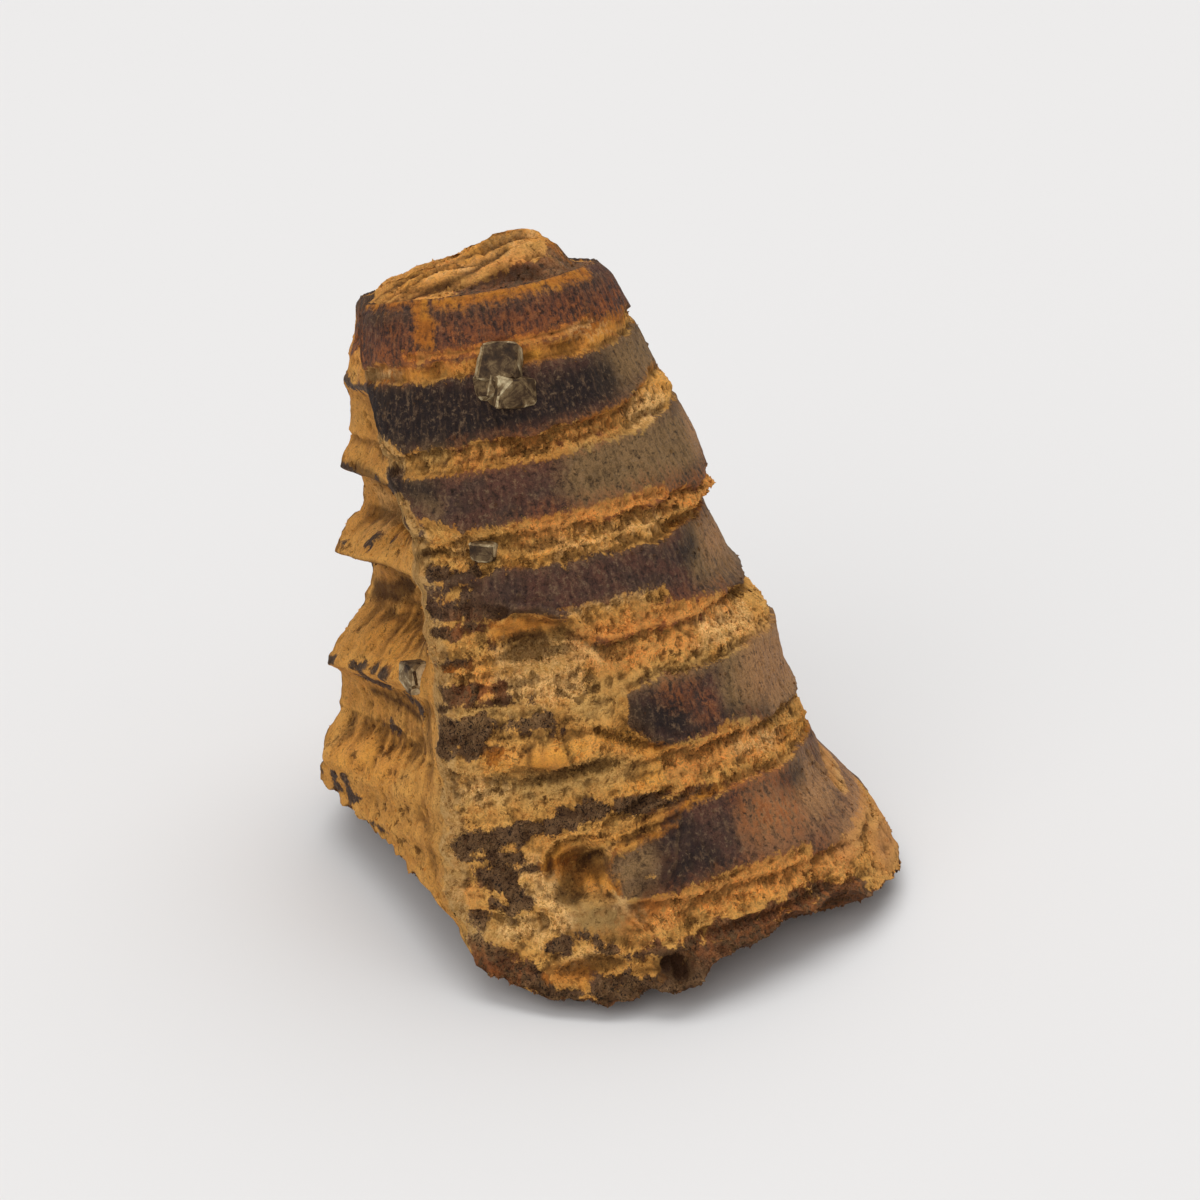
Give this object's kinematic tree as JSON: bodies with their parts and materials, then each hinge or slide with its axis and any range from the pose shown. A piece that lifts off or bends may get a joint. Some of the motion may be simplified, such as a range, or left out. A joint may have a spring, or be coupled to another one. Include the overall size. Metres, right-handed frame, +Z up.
{
  "type": "fossil nautiloid",
  "caption": "Broken length of a fossil nautiloid's chambered shell, a tapering stone cone ringed by dark raised crusts and soft ochre seams, standing on its wide end.",
  "frame": {"origin": "on the ground under the middle of the bounding box, where the wide end rests", "axes": "+Z up, -Y the face with the crystal cluster, +X towards the side that leans out; the broken side faces -X"},
  "size_m": [0.0421, 0.0417, 0.0449],
  "materials": {
    "ironstone": "rough weathered ironstone, dark brown crusts over ochre filling",
    "crystal": "glassy grey-brown crystal"
  },
  "bodies": {
    "root": {"fossil_nautiloid": "ironstone"}
  },
  "joints": []
}
